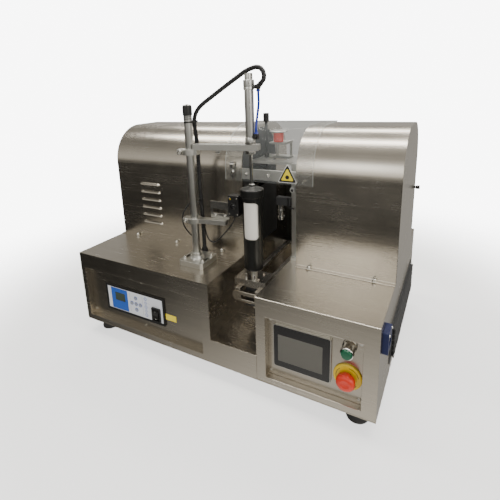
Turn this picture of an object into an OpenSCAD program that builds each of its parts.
// Benchtop sealing machine for plastic tubes.
// Two steel housings stand either side of a loading channel. A holder on a carriage takes the tube
// upside down, slides it back under the hoods, and a horn and an anvil close on it from both sides.
// Inside place(), x runs from the left end, y from the front face and z from the underside of the body.

/* [Body] */
// Width of the whole body
body_w = 860; // [840:1:900]
// Depth of the whole body
body_d = 600; // [590:1:640]
// Height of the two housings
body_h = 220; // [215:1:225]
// Height of the rubber feet
foot_h = 40; // [20:1:60]
// Thickness of the sheet steel
sheet = 2; // [1:0.5:3]
// How far each front panel is set back behind its frame
recess = 18; // [12:1:20]

/* [Channel] */
// Width of the left housing
left_w = 462; // [455:1:465]
// Where the right housing starts
right_x = 590; // [588:1:592]
// Height of the channel floor
floor_z = 67; // [50:1:80]

/* [Hoods] */
// Front plane of the hoods
hood_y = 191; // [185:1:195]
// Depth of the hoods
hood_d = 320; // [310:1:340]
// Height of the hoods above the housings
hood_h = 355; // [345:1:360]
// Radius of the hoods' front and rear top edges
hood_r = 113; // [100:1:120]
// Where the right hood starts
right_hood_x = 616; // [614:1:618]
// Number of louvres in the left hood
louvres = 6; // [2:1:7]
// Thickness of the clear guard
guard_t = 3; // [2:0.5:4]

/* [Tube station] */
// Tube axis, measured from the left end
tube_x = 526; // [525:0.5:527]
// Tube axis, measured from the front face
tube_y = 126; // [124:0.5:128]
// Underside of the carriage plate
plate_z = 180; // [178:1:182]
// Radius of the tube holder
cup_r = 24.5; // [23:0.5:25]
// Height of the holder's mouth
cup_top = 415.5; // [400:0.5:415.5]
// Inside radius of the holder's liner
liner_r = 19.5; // [15:0.5:19.5]

/* [Column] */
// Column axis, measured from the left end
column_x = 366; // [364:1:368]
// Column axis, measured from the front face
column_y = 98; // [97:1:100]
// Radius of the column
column_r = 10.5; // [10:0.5:10.5]
// Height of the column's top
column_top = 642; // [630:1:650]
// Angle at which both arms point back towards the tube axis
arm_angle = 9.9; // [9:0.1:11]

/* [Jaws] */
// Height of the sealing line
jaw_z = 430; // [428:1:432]
// Depth at which the jaws meet
jaw_y = 300; // [296:1:304]
// Gap from the tube axis to the face of each open jaw
jaw_gap = 26; // [26:0.5:27]

/* [Hidden] */
$fn = 48;
steel = [0.66, 0.64, 0.6];
bright = [0.78, 0.78, 0.78];
black = [0.08, 0.08, 0.09];
alloy = [0.72, 0.74, 0.76];
running = 0.05;        // radial clearance of a shaft that turns or slides
knob_l = 14;           // length of the knob on the right hood's end
inlet_d = 42;          // how far the air inlet stands out behind
start_front = -15;     // front of the start button's cap
origin_x = (body_w + knob_l) / 2;
origin_y = (body_d + inlet_d + start_front) / 2;
chan_w = right_x - left_w;
panel_z = [17, 175];   // bottom and top of both front windows
left_win = [15, 437];
right_win = [614, 829];
hood_top = body_h + hood_h;
bend_z = hood_top - hood_r;
gen = [81, 48, 223, 84];        // generator panel: left, bottom, width, height
rocker = [274, 76.5];           // centre of the power switch
touch = [629, 48, 133, 109];    // touch panel: left, bottom, width, height
start_at = [799, 150];
estop_at = [797, 77];
estop_back_y = 6.2;             // rear face of the mushroom
gland = [356, 150];
cable_gland = [336, 150];
rail_top = plate_z - 0.3;
rail_w = 16;
rail_h = 8.7;
rail_off = 29;                  // rail centre to tube axis
cup_z = 222;
collar_z = 416;
arm_z = 518;
arm_t = 14;
ram_reach = 162.4;              // column axis to ram axis, along the arm
plate_arm_z = arm_z + arm_t - 1;
sensor_z = 336;
elbow_at = [550, 126, 678];
rod_z0 = 110;                   // height of the carriage cylinder's axis
posts_x = 592;
screen_top = 360;               // top of the plate behind the carriage

// Routes of the hoses and the cable, as points inside place().
bundle_route = [
    [356, 150, 242], [356, 150, 300], [355, 150, 360], [354, 149, 420], [354, 149, 480],
    [356, 146, 530], [359, 139, 560], [363, 130, 585], [368, 124, 607], [378, 123, 626],
    [394, 124, 641], [414, 126, 654], [440, 128, 670], [470, 130, 688], [500, 133, 706],
    [512, 134.5, 713], [523, 135.5, 717.5], [534, 135.3, 720.5], [544.2, 134, 721.2],
    [554.2, 131.5, 718.2], [561.5, 129, 711], [565, 127, 701], [563.6, 126.2, 692.6], [559, 126, 687.2]
];
blue_route = [
    [542, 126, 575.3], [542, 126, 584], [543, 128, 600], [546, 129, 620], [549, 129, 642],
    [550, 126, 662], [550, 126, 670.7]
];
cable_route = [
    [472, 131, 360.7], [472, 131, 352], [465, 132, 338], [452, 133, 320], [436, 134, 302],
    [420, 135, 285], [404, 136, 272], [391, 135, 270], [383, 131, 281], [380, 126, 303],
    [379, 122, 330], [379, 120, 352], [377, 120, 370], [370, 121, 382], [358, 122, 387],
    [344, 120, 383], [332, 114, 371], [323, 108, 354], [320, 105, 336], [322, 107, 316],
    [328, 114, 298], [333, 126, 281], [335, 139, 268], [336, 147, 256], [336, 150, 245],
    [336, 150, 236]
];

// ---------------------------------------------------------------- helpers
module place() {
    translate([-origin_x, -origin_y, foot_h]) children();
}
module along_x(x, length) {
    translate([x, 0, 0]) rotate([90, 0, 90]) linear_extrude(length) children();
}
module along_y(y, length) {
    translate([0, y + length, 0]) rotate([90, 0, 0]) linear_extrude(length) children();
}
module rod_x(r, at, length) {
    translate(at) rotate([0, 90, 0]) cylinder(r = r, h = length);
}
module rod_y(r, at, length) {
    translate(at) rotate([-90, 0, 0]) cylinder(r = r, h = length);
}
module rod_z(r, at, length) {
    translate(at) cylinder(r = r, h = length);
}
module box(low, high) {
    translate(low) cube(high - low);
}
module rounded_rect(x0, y0, w, h, r) {
    translate([x0 + r, y0]) square([w - 2 * r, h]);
    translate([x0, y0 + r]) square([w, h - 2 * r]);
    for (x = [x0 + r, x0 + w - r], y = [y0 + r, y0 + h - r]) translate([x, y]) circle(r);
}
module in_arm_frame(z) {
    translate([column_x, column_y, z]) rotate([0, 0, arm_angle]) children();
}

// A tube swept along a route: one ring per point, each ring square to the run of the route.
function unit(v) = v / norm(v);
function heading(p, i) = unit(p[min(i + 1, len(p) - 1)] - p[max(i - 1, 0)]);
function side_of(t) = unit(cross(t, abs(t[2]) < 0.8 ? [0, 0, 1] : [0, 1, 0]));
function carried(p, i) = i == 0 ? side_of(heading(p, 0)) :
    let (before = carried(p, i - 1), t = heading(p, i)) unit(before - (before * t) * t);
module tube(route, r, sides) {
    rings = [
        for (i = [0 : len(route) - 1])
            let (t = heading(route, i), n = carried(route, i), b = cross(t, n))
                for (k = [0 : sides - 1])
                    let (a = 360 * k / sides) route[i] + r * (cos(a) * n + sin(a) * b)
    ];
    walls = [
        for (i = [0 : len(route) - 2], k = [0 : sides - 1])
            let (j = (k + 1) % sides, a = i * sides, b = a + sides) [a + k, b + k, b + j, a + j]
    ];
    first = [for (k = [0 : sides - 1]) k];
    last = [for (k = [sides - 1 : -1 : 0]) (len(route) - 1) * sides + k];
    polyhedron(points = rings, faces = concat(walls, [first], [last]), convexity = 4);
}

// ---------------------------------------------------------------- housings
module base_pan() {
    color(steel) place() {
        difference() {
            cube([body_w, body_d, sheet]);
            for (x = [45, body_w - 45], y = [45, body_d - 45]) rod_z(5.2, [x, y, -1], 4);
        }
        difference() {
            box([left_w, 0, sheet], [right_x, body_d, floor_z]);
            box([left_w - 1, sheet, sheet - 1], [right_x + 1, body_d - sheet, floor_z - sheet]);
        }
    }
}
module foot() {
    rotate_extrude() polygon([[0, -foot_h], [23, -foot_h], [25, -foot_h + 3], [20, -4], [0, -4]]);
    rotate_extrude() polygon([[0, -4], [14, -4], [14, 0], [5, 0], [5, 12], [0, 12]]);
}
module feet() {
    color(black) place() {
        for (x = [45, body_w - 45], y = [45, body_d - 45]) translate([x, y, 0]) foot();
    }
}
module window_frame(x, low, high) {
    // The return flange that runs back from the window's edge to the panel.
    along_y(0, recess) difference() {
        translate([x[0] - sheet, low - sheet]) square([x[1] - x[0] + 2 * sheet, high - low + 2 * sheet]);
        translate([x[0], low]) square([x[1] - x[0], high - low]);
    }
}
module housing(x0, x1, window) {
    difference() {
        box([x0, 0, sheet], [x1, body_d, body_h]);
        box([x0 + sheet, sheet, sheet - 1], [x1 - sheet, body_d + 1, body_h - sheet]);
        box([window[0], -1, panel_z[0]], [window[1], sheet + 1, panel_z[1]]);
    }
    window_frame(window, panel_z[0], panel_z[1]);
}
module left_housing() {
    color(steel) place() difference() {
        housing(0, left_w, left_win);
        rod_z(6.2, [gland[0], gland[1], body_h - 5], 10);
        rod_z(3.2, [cable_gland[0], cable_gland[1], body_h - 5], 10);
    }
}
module right_housing() {
    color(steel) place() difference() {
        housing(right_x, body_w, right_win);
        box([body_w - 5, 160, 45], [body_w + 1, 540, 125]);
    }
}
module panel(x0, x1) {
    along_y(recess, sheet) translate([x0, 10]) square([x1 - x0, 172]);
}
module left_front_panel() {
    color(steel) place() difference() {
        panel(8, 444);
        box([rocker[0] - 12, 0, rocker[1] - 17.5], [rocker[0] + 12, 30, rocker[1] + 17.5]);
    }
}
module right_front_panel() {
    color(steel) place() difference() {
        panel(607, 836);
        box([touch[0] + 9, 0, touch[1] + 8], [touch[0] + touch[2] - 9, 30, touch[1] + touch[3] - 8]);
        rod_y(11.2, [start_at[0], 0, start_at[1]], 30);
        rod_y(11.2, [estop_at[0], 0, estop_at[1]], 30);
    }
}
module rear_cover() {
    // Closes the channel behind the carriage.
    color(black) place() {
        box([left_w, hood_y + hood_d - 6, 150], [right_x, hood_y + hood_d - 4, body_h]);
        box([left_w, hood_y + hood_d - 6, body_h], [right_hood_x, hood_y + hood_d - 4, screen_top]);
    }
    color(steel) place() difference() {
        along_y(body_d, sheet) rounded_rect(8, 8, body_w - 16, body_h - 16, 6);
        for (i = [0 : 7], x = [60, 500]) {
            box([x, body_d - 1, 60 + 14 * i], [x + 100, body_d + 5, 65 + 14 * i]);
        }
    }
}

// ---------------------------------------------------------------- hoods
module hood_profile(inset) {
    y0 = hood_y + inset;
    d = hood_d - 2 * inset;
    r = hood_r - inset;
    top = hood_top - inset;
    translate([y0, body_h - 1]) square([d, top - r - body_h + 1]);
    translate([y0 + r, body_h - 1]) square([d - 2 * r, top - body_h + 1]);
    for (y = [y0 + r, y0 + d - r]) translate([y, top - r]) circle(r);
}
module hood(x0, x1) {
    difference() {
        along_x(x0, x1 - x0) intersection() {
            hood_profile(0);
            translate([0, body_h]) square([body_d, hood_h]);
        }
        along_x(x0 + sheet, x1 - x0 - 2 * sheet) hood_profile(sheet);
    }
    for (y = [hood_y - 12, hood_y + hood_d]) box([x0, y, body_h], [x1, y + 12, body_h + sheet]);
}
module louvre_form(r, length) {
    rod_x(r, [0, 0, 0], length);
    for (x = [0, length]) translate([x, 0, 0]) sphere(r);
}
module louvre(x, z, length) {
    // A pressed half-round lip, open towards the floor.
    translate([x, hood_y + 2, z]) difference() {
        louvre_form(8, length);
        louvre_form(6.6, length);
        box([-12, -12, -12], [length + 12, 12, 0]);
        box([-12, -2 + sheet, -12], [length + 12, 12, 12]);
    }
}
module left_hood() {
    louvre_pitch = 126 / (louvres - 1);
    color(steel) place() {
        difference() {
            hood(0, left_w);
            box([left_w - 8, jaw_y - 60, jaw_z - 35], [left_w + 8, jaw_y + 60, jaw_z + 40]);
            for (i = [0 : louvres - 1]) {
                box([101, hood_y - 1, 270 + i * louvre_pitch], [165, hood_y + 3, 276 + i * louvre_pitch]);
            }
        }
        for (i = [0 : louvres - 1]) louvre(101, 270 + i * louvre_pitch, 64);
    }
}
module right_hood() {
    color(steel) place() difference() {
        hood(right_hood_x, body_w);
        box([right_hood_x - 8, jaw_y - 60, jaw_z - 35], [right_hood_x + 8, jaw_y + 60, jaw_z + 40]);
    }
}
module guard_profile() {
    // Follows the hoods' front curve, one millimetre clear of them.
    centre = [hood_y + hood_r, bend_z];
    inner = hood_r + 1;
    translate([centre[0] - inner - guard_t, bend_z - 25]) square([guard_t, 25.5]);
    translate([centre[0] - 0.5, bend_z + inner]) square([96, guard_t]);
    intersection() {
        difference() {
            translate(centre) circle(inner + guard_t);
            translate(centre) circle(inner);
        }
        translate([centre[0] - 200, bend_z]) square(200);
    }
}
module guard() {
    color([0.8, 0.85, 0.88, 0.35]) place() difference() {
        along_x(414, 246) guard_profile();
        rod_z(6, [487, jaw_y, hood_top - 10], 30);
    }
}
module screw_head(r, h) {
    difference() {
        cylinder(r = r, h = h);
        translate([0, 0, h * 0.4]) cylinder(r = r * 0.5, h = h);
    }
}
module facing_front(at) {
    translate(at) rotate([90, 0, 0]) children();
}
module screws() {
    color(bright) place() {
        for (x = [22, 226, 430], z = [29, 163]) facing_front([x, recess, z]) screw_head(3.5, 2.2);
        for (x = [621, 822], z = [29, 163]) facing_front([x, recess, z]) screw_head(3.5, 2.2);
        for (x = [20, 300, 560, 840], z = [20, 200]) {
            translate([x, body_d + sheet, z]) rotate([-90, 0, 0]) screw_head(3.5, 2.2);
        }
        for (x = [64, 226, 391, 653, 813], y = [hood_y - 6, hood_y + hood_d + 6]) {
            translate([x, y, body_h + sheet]) screw_head(4, 3);
        }
        facing_front([636, hood_y - 1 - guard_t, 447]) screw_head(4, 3);
        translate([339, 124, body_h + 15]) screw_head(6.5, 8);
        translate([397, 120, body_h + 15]) screw_head(6.5, 8);
    }
}
module hood_knob() {
    color(black) place() {
        rod_x(5.5, [body_w + 4, 483, 385], knob_l - 4);
        rod_x(3, [body_w, 483, 385], 4);
    }
}

// ---------------------------------------------------------------- front panels
module generator_bezel() {
    color(black) place() along_y(recess - 4, 4) difference() {
        rounded_rect(gen[0], gen[1], gen[2], gen[3], 3);
        translate([gen[0] + 6, gen[1] + 6]) square([gen[2] - 12, gen[3] - 12]);
    }
}
module generator_keypad() {
    color("white") place() difference() {
        union() {
            box([gen[0] + 6, recess - 2, gen[1] + 6], [gen[0] + gen[2] - 6, recess, gen[1] + gen[3] - 6]);
            box([gen[0] + 21, recess - 2.8, gen[1] + 9], [gen[0] + 86.5, recess, gen[1] + gen[3] - 9]);
            for (a = [0 : 90 : 270]) key(16 * cos(a), 18 * sin(a));
            key(0, 0);
        }
        box([rocker[0] - 15, 0, rocker[1] - 21], [rocker[0] + 15, 30, rocker[1] + 21]);
    }
}
module key(dx, dz) {
    facing_front([199 + dx, recess - 1.9, 88 + dz]) cylinder(r = 5.5, h = 1.1);
}
module rocker_frame() {
    color(black) place() difference() {
        union() {
            along_y(recess - 7, 7) rounded_rect(rocker[0] - 15, rocker[1] - 21, 30, 42, 2);
            box([rocker[0] - 12, recess - 1, rocker[1] - 17.5],
                [rocker[0] + 12, recess + 22, rocker[1] + 17.5]);
        }
        box([rocker[0] - 11, 0, rocker[1] - 16.4], [rocker[0] + 11, recess + 20, rocker[1] + 16.4]);
    }
}
module power_rocker() {
    // Turns about its own round back, so it clears its frame at every angle.
    color(black) place() difference() {
        rod_x(16, [rocker[0] - 10.6, recess + 4, rocker[1]], 21.2);
        rod_x(24, [rocker[0] - 11, recess - 34, rocker[1]], 22);
        box([rocker[0] - 12, recess + 9, rocker[1] - 20], [rocker[0] + 12, recess + 30, rocker[1] + 20]);
    }
}
module touch_panel() {
    color(black) place() {
        along_y(recess - 6, 6) rounded_rect(touch[0], touch[1], touch[2], touch[3], 5);
        box([touch[0] + 11, recess - 1, touch[1] + 10],
            [touch[0] + touch[2] - 11, recess + 34, touch[1] + touch[3] - 10]);
    }
}
module start_button_barrel() {
    color(bright) place() difference() {
        union() {
            rod_y(14, [start_at[0], start_front + 8, start_at[1]], recess - start_front - 8);
            rod_y(11, [start_at[0], recess - 1, start_at[1]], 22);
            box([start_at[0] - 15, recess + 20, start_at[1] - 15],
                [start_at[0] + 15, recess + 56, start_at[1] + 15]);
        }
        rod_y(11 + running, [start_at[0], start_front, start_at[1]], 25);
    }
}
module start_button_cap() {
    color([0.05, 0.3, 0.16]) place() rod_y(11, [start_at[0], start_front, start_at[1]], 20);
}
module estop_base() {
    color([0.95, 0.75, 0.05]) place() difference() {
        union() {
            rod_y(30, [estop_at[0], recess - 5, estop_at[1]], 5);
            rod_y(11, [estop_at[0], recess - 1, estop_at[1]], 22);
            box([estop_at[0] - 15, recess + 20, estop_at[1] - 20],
                [estop_at[0] + 15, recess + 60, estop_at[1] + 20]);
        }
        rod_y(8 + running, [estop_at[0], -10, estop_at[1]], 70);
    }
}
module estop_plunger() {
    color(black) place() {
        rod_y(8, [estop_at[0], estop_back_y + 0.3, estop_at[1]], 36);
        rod_y(5, [estop_at[0], estop_back_y - 14, estop_at[1]], 15);
    }
}
module estop_head() {
    color([0.75, 0.04, 0.03]) place() facing_front([estop_at[0], estop_back_y, estop_at[1]]) difference() {
        rotate_extrude() polygon([[0, 0], [18.5, 0], [20, 2], [20, 10], [18.5, 14.5], [13, 17], [0, 17.5]]);
        translate([0, 0, -1]) cylinder(r = 5 + running, h = 15.2);
    }
}
module side_vents() {
    color(black) place() {
        along_x(body_w, 2) difference() {
            translate([150, 35]) square([400, 100]);
            for (i = [0 : 5]) translate([160, 45 + 14 * i]) square([380, 7]);
        }
        for (i = [0 : 5]) {
            along_x(body_w + 2, 7) translate([160, 52 + 14 * i]) square([380, 2]);
            box([body_w + 7, 160, 47 + 14 * i], [body_w + 9, 540, 52 + 14 * i]);
        }
    }
}
module mains_inlet() {
    color([0.1, 0.3, 0.7]) place() difference() {
        along_x(body_w, 12) rounded_rect(20, 150, 42, 50, 4);
        box([body_w + 4, 28, 160], [body_w + 20, 54, 182]);
    }
}
module air_inlet() {
    color(alloy) place() difference() {
        union() {
            box([680, body_d + sheet, 110], [720, body_d + inlet_d, 150]);
            rod_z(17, [700, body_d + 22, 62], 48);
            rod_z(14, [700, body_d + 22, 150], 26);
            rod_x(8, [664, body_d + 22, 130], 17);
        }
        rod_x(4.05, [663, body_d + 22, 130], 15);
    }
}
module generator_unit() {
    color(alloy) place() difference() {
        box([84, 45, sheet], [302, 290, 140]);
        box([86, 47, 4], [300, 288, 138]);
        for (i = [0 : 9]) box([110, 285, 30 + 9 * i], [270, 295, 34 + 9 * i]);
    }
}
module controller_box() {
    color([0.85, 0.85, 0.82]) place() {
        box([640, 110, sheet], [780, 240, 100]);
        box([640, 270, sheet], [740, 330, 120]);
    }
}

// ---------------------------------------------------------------- column and arms
module column_base() {
    color(alloy) place() difference() {
        union() {
            translate([0, 0, body_h]) linear_extrude(15) rounded_rect(330, 60, 77, 80, 8);
            translate([column_x, column_y, body_h + 15]) rotate_extrude() {
                polygon([[0, 0], [20, 0], [18, 4], [15, 7], [14, 16], [0, 16]]);
            }
        }
        rod_z(column_r + 0.1, [column_x, column_y, body_h + 2], 40);
        for (x = [339, 397]) translate([0, 0, body_h - 1]) linear_extrude(20) rounded_rect(x - 4.5, 74, 9, 32, 4.4);
    }
}
module column() {
    color(alloy) place() rod_z(column_r, [column_x, column_y, body_h + 2], column_top - body_h - 2);
}
module hose_gland() {
    color(black) place() {
        rod_z(6, [gland[0], gland[1], body_h - 12], 13);
        rod_z(9, [gland[0], gland[1], body_h], 12);
        rod_z(8, [gland[0], gland[1], body_h + 12], 10);
        rod_z(3, [cable_gland[0], cable_gland[1], body_h - 8], 9);
        rod_z(6, [cable_gland[0], cable_gland[1], body_h], 16);
    }
}
module split_clamp(lug, width, thickness) {
    // Grips the column; one screw closes the slot in its lug.
    linear_extrude(thickness) difference() {
        union() {
            circle(20);
            translate([-lug, -11]) square([lug - 8, 22]);
            translate([10, -width / 2]) square([14, width]);
        }
        circle(column_r + running);
        translate([-lug - 5, -1.2]) square([lug - 4, 2.4]);
    }
}
module clamp_screw_hole(lug, z) {
    translate([8 - lug, -20, z]) rotate([-90, 0, 0]) cylinder(r = 3.2, h = 40);
}
module upper_arm() {
    color(bright) place() difference() {
        union() {
            in_arm_frame(arm_z) split_clamp(32, 24, arm_t);
            in_arm_frame(plate_arm_z) translate([13, -12, 0]) cube([171, 24, arm_t]);
        }
        in_arm_frame(plate_arm_z) translate([ram_reach, 0, -1]) cylinder(r = 8.1, h = 40);
        in_arm_frame(arm_z) clamp_screw_hole(32, arm_t / 2);
    }
}
module ram_cylinder() {
    at = [tube_x, tube_y];
    top = plate_arm_z + arm_t;
    color(alloy) place() difference() {
        union() {
            rod_z(8, [at[0], at[1], plate_arm_z - 10], arm_t + 12);
            translate([at[0], at[1], plate_arm_z - 10]) cylinder(r = 13, h = 9.8, $fn = 6);
            translate([at[0], at[1], top]) cylinder(r = 14, h = 8, $fn = 6);
            rod_z(12.5, [at[0], at[1], top + 8], 8);
            rod_z(11, [at[0], at[1], top + 14], 672 - top - 12);
            rod_z(13, [at[0], at[1], 672], 22);
            rod_z(9.5, [at[0], at[1], 694], 15);
            rod_x(4, [at[0] + 10, at[1], 564], 7);
            rod_z(4.5, [542, at[1], 560], 15);
            rod_x(4, [at[0] + 10, at[1], elbow_at[2]], 6);
        }
        rod_z(4 + running, [at[0], at[1], plate_arm_z - 20], 60);
        rod_z(8 + running, [at[0], at[1], top + 10], 110);
    }
}
module ram_elbow() {
    color(black) place() {
        rod_x(5, [542, elbow_at[1], elbow_at[2]], 8);
        translate(elbow_at) sphere(7);
        translate(elbow_at) rotate([0, 45, 0]) cylinder(r = 6, h = 8 * sqrt(2));
        rod_z(4, [elbow_at[0], elbow_at[1], elbow_at[2] - 7], 6);
    }
}
module ram_rod() {
    color(bright) place() {
        rod_z(4, [tube_x, tube_y, collar_z + 20], 168);
        rod_z(8, [tube_x, tube_y, collar_z + 180], 8);
        translate([tube_x, tube_y, collar_z + 20]) cylinder(r = 8, h = 11, $fn = 6);
    }
}
module pusher_collar() {
    color(black) place() translate([tube_x, tube_y, collar_z]) rotate_extrude() {
        polygon([[0, 0], [28.5, 0], [29.5, 1], [29.5, 18], [27.5, 20], [0, 20]]);
    }
}
module sensor_arm() {
    color(bright) place() in_arm_frame(sensor_z) difference() {
        union() {
            split_clamp(30, 20, 12);
            translate([20, -10, 0]) cube([72, 20, 12]);
        }
        clamp_screw_hole(30, 6);
    }
}
module sensor_bracket() {
    color(bright) place() along_y(118, 3) difference() {
        translate([406, sensor_z + 12]) square([56.7, 46]);
        translate([412, sensor_z + 26]) square([44, 12]);
    }
}
module mark_sensor() {
    color(black) place() {
        along_y(113, 26) rounded_rect(462.7, 361, 31, 54, 3);
        rod_y(4, [468, 110.5, 409], 2.5);
        rod_y(4, [488, 110.5, 367], 2.5);
        rod_y(7, [478, 109, 388], 4);
    }
}

// ---------------------------------------------------------------- carriage and holder
module guide_rails() {
    color(bright) place() for (s = [-1, 1]) {
        box([tube_x + s * rail_off - rail_w / 2, 84, rail_top - rail_h],
            [tube_x + s * rail_off + rail_w / 2, 440, rail_top]);
    }
}
module rail_supports() {
    top = rail_top - rail_h;
    color(steel) place() {
        along_y(84, 12) difference() {
            union() {
                translate([494, 143]) square([right_x - 494, top - 143]);
                translate([494, (143 + top) / 2]) circle((top - 143) / 2);
            }
            translate([tube_x - 19, 150]) square([38, 11]);
        }
        along_y(428, 12) difference() {
            translate([480, floor_z]) square([right_x - 480, top - floor_z]);
            translate([tube_x, rod_z0]) circle(13.2);
        }
    }
}
module carriage_cylinder() {
    color(alloy) place() difference() {
        union() {
            rod_y(13, [tube_x, 330, rod_z0], 240);
            box([tube_x - 15, 330, rod_z0 - 15], [tube_x + 15, 346, rod_z0 + 15]);
            box([tube_x - 15, 554, rod_z0 - 15], [tube_x + 15, 570, rod_z0 + 15]);
        }
        rod_y(5 + running, [tube_x, 320, rod_z0], 60);
        rod_y(9 + running, [tube_x, 340, rod_z0], 210);
    }
}
module carriage_plate() {
    color(steel) place() difference() {
        box([482, 98, plate_z], [570, 158, plate_z + 20]);
        rod_z(9 + running, [tube_x, tube_y, plate_z - 1], 30);
    }
    color(bright) place() for (x = [508, 544], y = [112, 146]) {
        translate([x, y, plate_z + 20]) screw_head(4, 4);
    }
}
module spindle_motor() {
    color([0.2, 0.2, 0.22]) place() box([tube_x - 17.5, 108.5, 120], [tube_x + 17.5, 143.5, plate_z]);
}
module slide_rod() {
    color(bright) place() {
        box([tube_x - 10, 132, rod_z0 - 10], [tube_x + 10, 144, 120]);
        rod_y(5, [tube_x, 144, rod_z0], 206);
        rod_y(9, [tube_x, 344, rod_z0], 6);
    }
}
module holder_spindle() {
    color(alloy) place() {
        rod_z(9, [tube_x, tube_y, plate_z + 0.5], cup_z - plate_z - 4.5);
        rod_z(15, [tube_x, tube_y, cup_z - 4], 4);
    }
}
module holder_cup() {
    color(black) place() difference() {
        translate([tube_x, tube_y, cup_z]) rotate_extrude() {
            polygon([[0, 0], [cup_r - 3, 0], [cup_r, 4], [cup_r, cup_top - cup_z], [0, cup_top - cup_z]]);
        }
        rod_z(21.6, [tube_x, tube_y, cup_z + 8], 300);
        along_y(tube_y - 40, 40) rounded_rect(tube_x - 21.8, 308, 43.6, 96, 8);
    }
}
module holder_liner() {
    color("white") place() difference() {
        rod_z(21.4, [tube_x, tube_y, cup_z + 8], cup_top - cup_z - 8);
        rod_z(liner_r, [tube_x, tube_y, cup_z + 11], 300);
    }
}

// ---------------------------------------------------------------- sealing head
module frame_posts() {
    color(alloy) place() {
        for (y = [222, 338]) {
            box([posts_x, y, body_h + 8], [posts_x + 20, y + 20, 476]);
            box([posts_x - 1, y - 7, body_h], [posts_x + 22, y + 27, body_h + 8]);
        }
        difference() {
            box([468, 240, 476], [posts_x + 20, 358, 484]);
            rod_z(4 + running, [487, jaw_y, 470], 20);
            box([500, 270, 470], [560, 330, 490]);
        }
        box([posts_x, 222, 476], [posts_x + 20, 240, 484]);
    }
}
module front_bridge() {
    color(alloy) place() {
        box([left_w, 193, 441], [right_hood_x, 201, 469]);
        box([posts_x, 201, 445], [posts_x + 20, 222, 465]);
    }
}
module stack_bed() {
    color(steel) place() {
        box([120, jaw_y - 40, jaw_z - 45], [440, jaw_y + 40, jaw_z - 35.3]);
        for (x = [130, 400]) box([x, jaw_y - 35, body_h], [x + 20, jaw_y + 35, jaw_z - 45]);
    }
}
module transducer_stack() {
    color(alloy) place() {
        rod_x(30, [255, jaw_y, jaw_z], 80);
        rod_x(20, [335, jaw_y, jaw_z], 65);
        difference() {
            box([352, jaw_y - 33, jaw_z - 35], [376, jaw_y + 33, jaw_z + 33]);
            rod_x(20.1, [340, jaw_y, jaw_z], 60);
        }
        rod_x(5, [158, jaw_y, jaw_z], 97);
        rod_x(12, [150, jaw_y, jaw_z], 8);
    }
}
module horn() {
    tip = tube_x - jaw_gap;
    color([0.8, 0.78, 0.75]) place() {
        rod_x(19, [400, jaw_y, jaw_z], 30);
        along_y(jaw_y - 30, 60) polygon([
            [430, jaw_z - 19], [445, jaw_z - 19], [465, jaw_z - 9], [tip, jaw_z - 9],
            [tip, jaw_z + 9], [465, jaw_z + 9], [445, jaw_z + 19], [430, jaw_z + 19]
        ]);
    }
}
module anvil() {
    face = tube_x + jaw_gap;
    color(bright) place() {
        box([face, jaw_y - 32, jaw_z - 11], [face + 20, jaw_y + 32, jaw_z + 11]);
        rod_x(5, [face + 20, jaw_y, jaw_z], 145);
        rod_x(12, [face + 161, jaw_y, jaw_z], 8);
    }
}
module jaw_cylinders() {
    color(alloy) place() {
        difference() {
            union() {
                rod_x(17, [130, jaw_y, jaw_z], 115);
                box([140, jaw_y - 17, jaw_z - 35.3], [230, jaw_y + 17, jaw_z - 5]);
            }
            rod_x(12 + running, [140, jaw_y, jaw_z], 94);
            rod_x(5 + running, [220, jaw_y, jaw_z], 40);
        }
        difference() {
            union() {
                rod_x(17, [645, jaw_y, jaw_z], 95);
                box([655, jaw_y - 17, body_h], [730, jaw_y + 17, jaw_z - 5]);
            }
            rod_x(12 + running, [656, jaw_y, jaw_z], 76);
            rod_x(5 + running, [640, jaw_y, jaw_z], 30);
        }
    }
}
module trim_blade() {
    color([0.85, 0.86, 0.88]) place() along_y(jaw_y - 28, 56) polygon([
        [tube_x + jaw_gap + 1, jaw_z + 12], [590, jaw_z + 12], [590, jaw_z + 15], [tube_x + jaw_gap + 9, jaw_z + 15]
    ]);
}
module limit_switch() {
    color(black) place() {
        box([552, 214, 372], [posts_x, 230, 394]);
    }
    color(bright) place() {
        rod_z(7, [562, 222, 330], 42);
        rod_z(9, [562, 222, 336], 5);
    }
}
module adjusting_knob() {
    color(black) place() {
        rod_z(4, [487, jaw_y, 460], 124);
        rod_z(7, [487, jaw_y, 484.3], 12);
        rod_z(8, [487, jaw_y, 584], 24);
    }
}

// ---------------------------------------------------------------- hoses and cable
module hose_bundle() {
    color(black) place() tube(bundle_route, 5.5, 12);
}
module blue_air_hose() {
    color([0.05, 0.1, 0.6]) place() tube(blue_route, 3, 8);
}
module sensor_cable() {
    color(black) place() tube(cable_route, 1.8, 8);
}

base_pan();
feet();
left_housing();
right_housing();
left_front_panel();
right_front_panel();
rear_cover();
left_hood();
right_hood();
guard();
screws();
generator_bezel();
generator_keypad();
rocker_frame();
touch_panel();
start_button_barrel();
estop_base();
side_vents();
mains_inlet();
air_inlet();
column_base();
column();
hose_gland();
guide_rails();
rail_supports();
carriage_cylinder();
frame_posts();
front_bridge();
stack_bed();
jaw_cylinders();
limit_switch();
generator_unit();
controller_box();
hood_knob();
hose_bundle();
blue_air_hose();
sensor_cable();
power_rocker();
start_button_cap();
estop_plunger();
estop_head();
upper_arm();
ram_cylinder();
ram_elbow();
ram_rod();
pusher_collar();
sensor_arm();
sensor_bracket();
mark_sensor();
carriage_plate();
spindle_motor();
slide_rod();
holder_spindle();
holder_cup();
holder_liner();
transducer_stack();
horn();
anvil();
trim_blade();
adjusting_knob();
